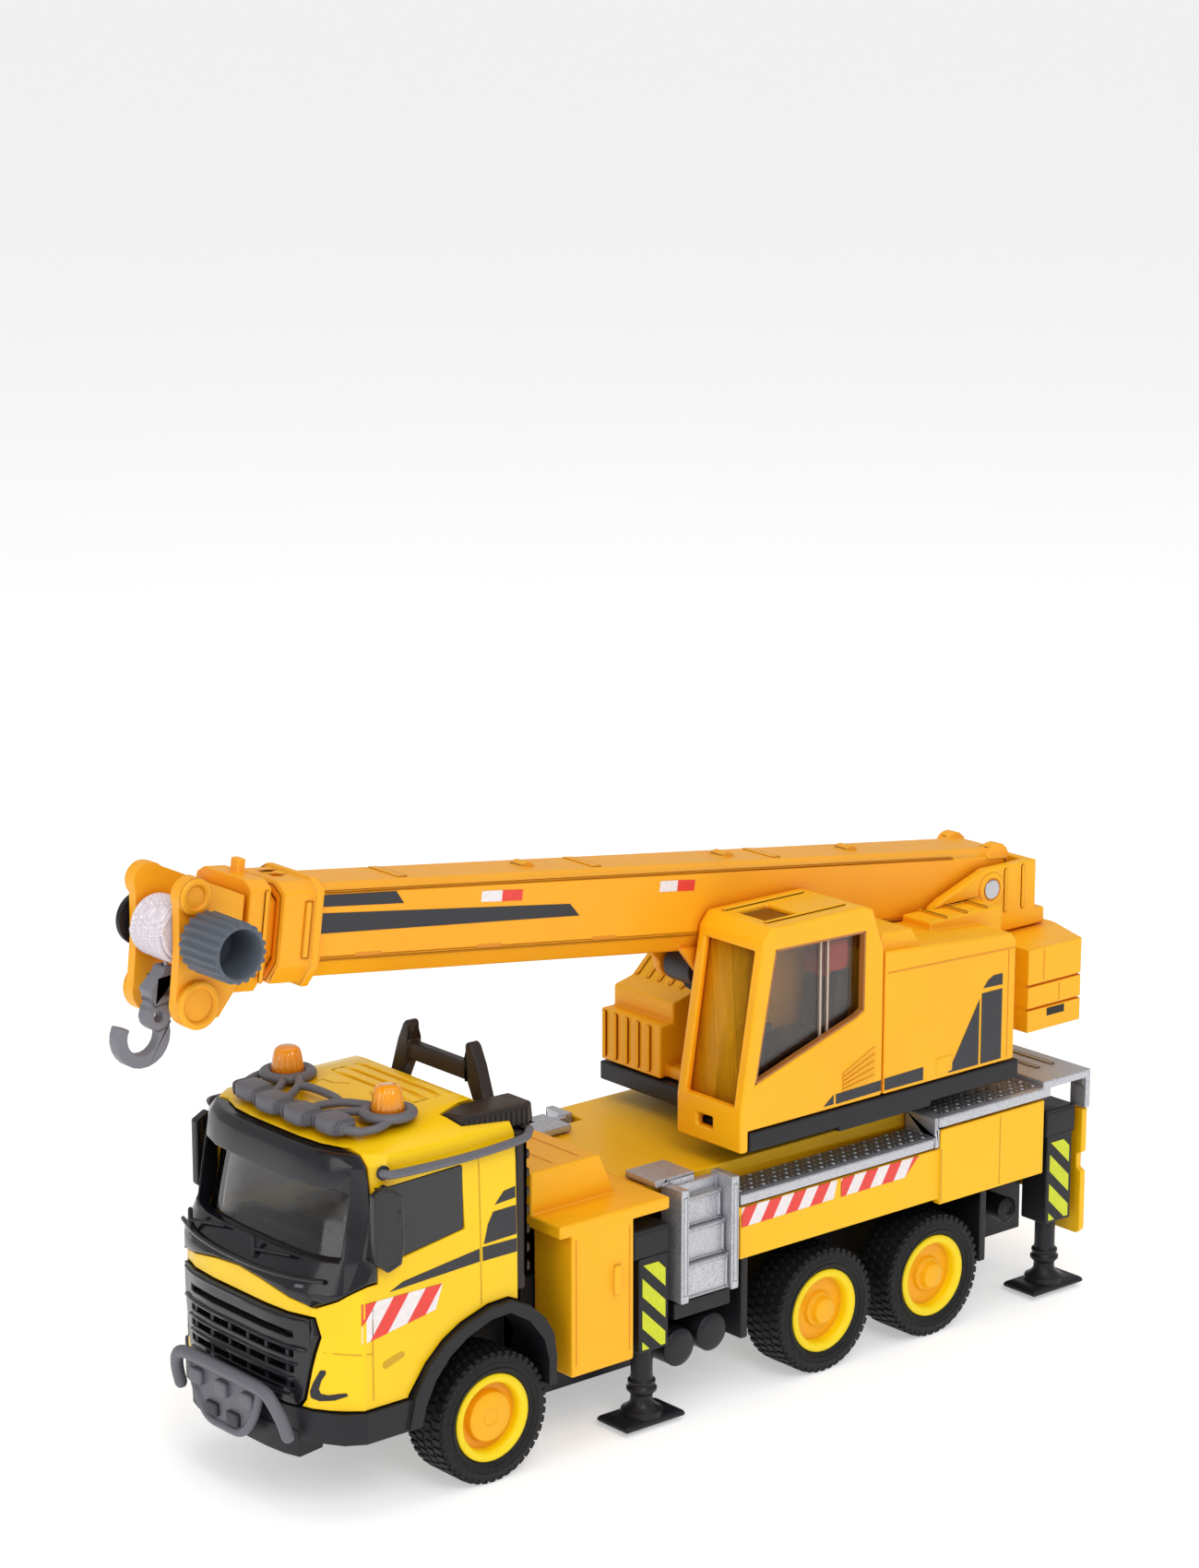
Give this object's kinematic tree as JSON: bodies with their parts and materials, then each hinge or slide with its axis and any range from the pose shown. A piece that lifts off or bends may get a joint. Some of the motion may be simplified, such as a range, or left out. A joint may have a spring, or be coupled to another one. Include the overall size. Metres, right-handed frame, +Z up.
{
  "type": "toy crane truck",
  "caption": "Three-axle toy truck with a slewing upper works, telescoping boom that luffs, winch with hook, and sliding outriggers with jacks.",
  "frame": {"origin": "on the ground under the middle of the bounding box", "axes": "+X forward along the truck, +Y to its left, +Z up"},
  "size_m": [0.2126, 0.0544, 0.1135],
  "materials": {
    "lemon_paint": "glossy lemon yellow, smooth",
    "orange_yellow_plastic": "orange-yellow moulded plastic, light satin",
    "boom_plastic": "orange moulded plastic, light satin",
    "black_plastic": "black moulded plastic",
    "grey_plastic": "mid grey moulded plastic",
    "silver_plastic": "silver coated plastic",
    "steel": "plain turned steel",
    "tyre_rubber": "black soft rubber, matt",
    "clear_plastic": "clear, smoke tinted",
    "amber_plastic": "amber, clear through",
    "thread": "white braided thread"
  },
  "bodies": {
    "truck": {"chassis": "black_plastic", "deck": "lemon_paint", "walkway": "silver_plastic", "rear_panel": "lemon_paint", "ladder_left": "silver_plastic", "ladder_right": "silver_plastic", "toolbox": "orange_yellow_plastic", "bumper": "black_plastic", "cab_shell": "lemon_paint", "front_mask": "black_plastic", "grille": "black_plastic", "cab_glazing": "clear_plastic", "bull_bar": "grey_plastic", "light_bar": "grey_plastic", "beacon_left": "amber_plastic", "beacon_right": "amber_plastic", "roof_rail_left": "grey_plastic", "roof_rail_right": "grey_plastic", "back_panel": "black_plastic", "cab_interior": "grey_plastic", "slew_pivot": "steel"},
    "axle_1": {"axle_shaft_1": "steel", "rim_1_left": "lemon_paint", "rim_1_right": "lemon_paint", "tyre_1_left": "tyre_rubber", "tyre_1_right": "tyre_rubber"},
    "axle_2": {"axle_shaft_2": "steel", "rim_2_left": "lemon_paint", "rim_2_right": "lemon_paint", "tyre_2_left": "tyre_rubber", "tyre_2_right": "tyre_rubber"},
    "axle_3": {"axle_shaft_3": "steel", "rim_3_left": "lemon_paint", "rim_3_right": "lemon_paint", "tyre_3_left": "tyre_rubber", "tyre_3_right": "tyre_rubber"},
    "beam_front_left": {"outrigger_beam_front_left": "black_plastic"},
    "jack_front_left": {"jack_front_left": "black_plastic"},
    "beam_front_right": {"outrigger_beam_front_right": "black_plastic"},
    "jack_front_right": {"jack_front_right": "black_plastic"},
    "beam_rear_left": {"outrigger_beam_rear_left": "black_plastic"},
    "jack_rear_left": {"jack_rear_left": "black_plastic"},
    "beam_rear_right": {"outrigger_beam_rear_right": "black_plastic"},
    "jack_rear_right": {"jack_rear_right": "black_plastic"},
    "upper": {"crane_base": "black_plastic", "crane_body": "orange_yellow_plastic", "operator_cab": "orange_yellow_plastic", "operator_glazing": "clear_plastic", "operator_seat": "grey_plastic", "counterweight": "orange_yellow_plastic"},
    "boom": {"boom_base": "boom_plastic", "boom_pin": "steel"},
    "boom_mid": {"boom_mid": "boom_plastic"},
    "boom_tip": {"boom_tip": "boom_plastic"},
    "winch": {"winch_knob": "grey_plastic", "thread_coil": "thread"},
    "hoist": {"hoist_line": "thread"},
    "hook": {"hook": "grey_plastic"},
    "barrel": {"luff_barrel": "black_plastic"},
    "rod": {"luff_rod": "steel"}
  },
  "joints": [
    {"name": "axle_1_roll", "type": "hinge", "parent": "truck", "child": "axle_1", "pos_m": [0.0471, 0, 0.012], "axis": [0, 1, 0], "continuous": true},
    {"name": "axle_2_roll", "type": "hinge", "parent": "truck", "child": "axle_2", "pos_m": [-0.03185, 0, 0.012], "axis": [0, 1, 0], "continuous": true},
    {"name": "axle_3_roll", "type": "hinge", "parent": "truck", "child": "axle_3", "pos_m": [-0.0602, 0, 0.012], "axis": [0, 1, 0], "continuous": true},
    {"name": "outrigger_front_left_out", "type": "slide", "parent": "truck", "child": "beam_front_left", "axis": [0, 1, 0], "range_m": [0, 0.012]},
    {"name": "jack_front_left_lift", "type": "slide", "parent": "beam_front_left", "child": "jack_front_left", "axis": [0, 0, 1], "range_m": [-0.0009, 0.006]},
    {"name": "outrigger_front_right_out", "type": "slide", "parent": "truck", "child": "beam_front_right", "axis": [0, -1, 0], "range_m": [0, 0.012]},
    {"name": "jack_front_right_lift", "type": "slide", "parent": "beam_front_right", "child": "jack_front_right", "axis": [0, 0, 1], "range_m": [-0.0009, 0.006]},
    {"name": "outrigger_rear_left_out", "type": "slide", "parent": "truck", "child": "beam_rear_left", "axis": [0, 1, 0], "range_m": [0, 0.012]},
    {"name": "jack_rear_left_lift", "type": "slide", "parent": "beam_rear_left", "child": "jack_rear_left", "axis": [0, 0, 1], "range_m": [-0.0009, 0.006]},
    {"name": "outrigger_rear_right_out", "type": "slide", "parent": "truck", "child": "beam_rear_right", "axis": [0, -1, 0], "range_m": [0, 0.012]},
    {"name": "jack_rear_right_lift", "type": "slide", "parent": "beam_rear_right", "child": "jack_rear_right", "axis": [0, 0, 1], "range_m": [-0.0009, 0.006]},
    {"name": "slew", "type": "hinge", "parent": "truck", "child": "upper", "pos_m": [-0.046, 0, 0.0472], "axis": [0, 0, 1], "continuous": true},
    {"name": "boom_luff", "type": "hinge", "parent": "upper", "child": "boom", "pos_m": [-0.0886, 0, 0.0803], "axis": [0, -1, 0], "range_deg": [-7.35, 45]},
    {"name": "boom_mid_slide", "type": "slide", "parent": "boom", "child": "boom_mid", "axis": [0.9918, 0, 0.1279], "range_m": [0, 0.055]},
    {"name": "boom_tip_slide", "type": "slide", "parent": "boom_mid", "child": "boom_tip", "axis": [0.9918, 0, 0.1279], "range_m": [0, 0.05]},
    {"name": "winch_spin", "type": "hinge", "parent": "boom_tip", "child": "winch", "pos_m": [0.09437, 0, 0.1032], "axis": [0, 1, 0], "range_deg": [0, 830]},
    {"name": "hook_swing", "type": "hinge", "parent": "boom_tip", "child": "hoist", "pos_m": [0.0954, 0, 0.0977], "axis": [0, -1, 0], "range_deg": [-45, 7.35]},
    {"name": "hook_drop", "type": "slide", "parent": "hoist", "child": "hook", "axis": [0, 0, -1], "range_m": [0, 0.075], "deforming": ["hoist_line"]},
    {"name": "rod_swing", "type": "hinge", "parent": "upper", "child": "rod", "pos_m": [-0.0645, 0, 0.0566], "axis": [0, -1, 0], "range_deg": [-8, 47]},
    {"name": "barrel_swing", "type": "hinge", "parent": "boom", "child": "barrel", "pos_m": [-0.02001, 0, 0.07543], "axis": [0, -1, 0], "range_deg": [-0.5, 2]}
  ],
  "couplings": [
    {"joint": "hook_swing", "follows": "boom_luff", "ratio": -1},
    {"joint": "rod_swing", "follows": "boom_luff", "ratio": 1.0325},
    {"joint": "barrel_swing", "follows": "boom_luff", "ratio": 0.0325},
    {"joint": "winch_spin", "follows": "hook_drop", "rad_per_m": 192.3}
  ]
}
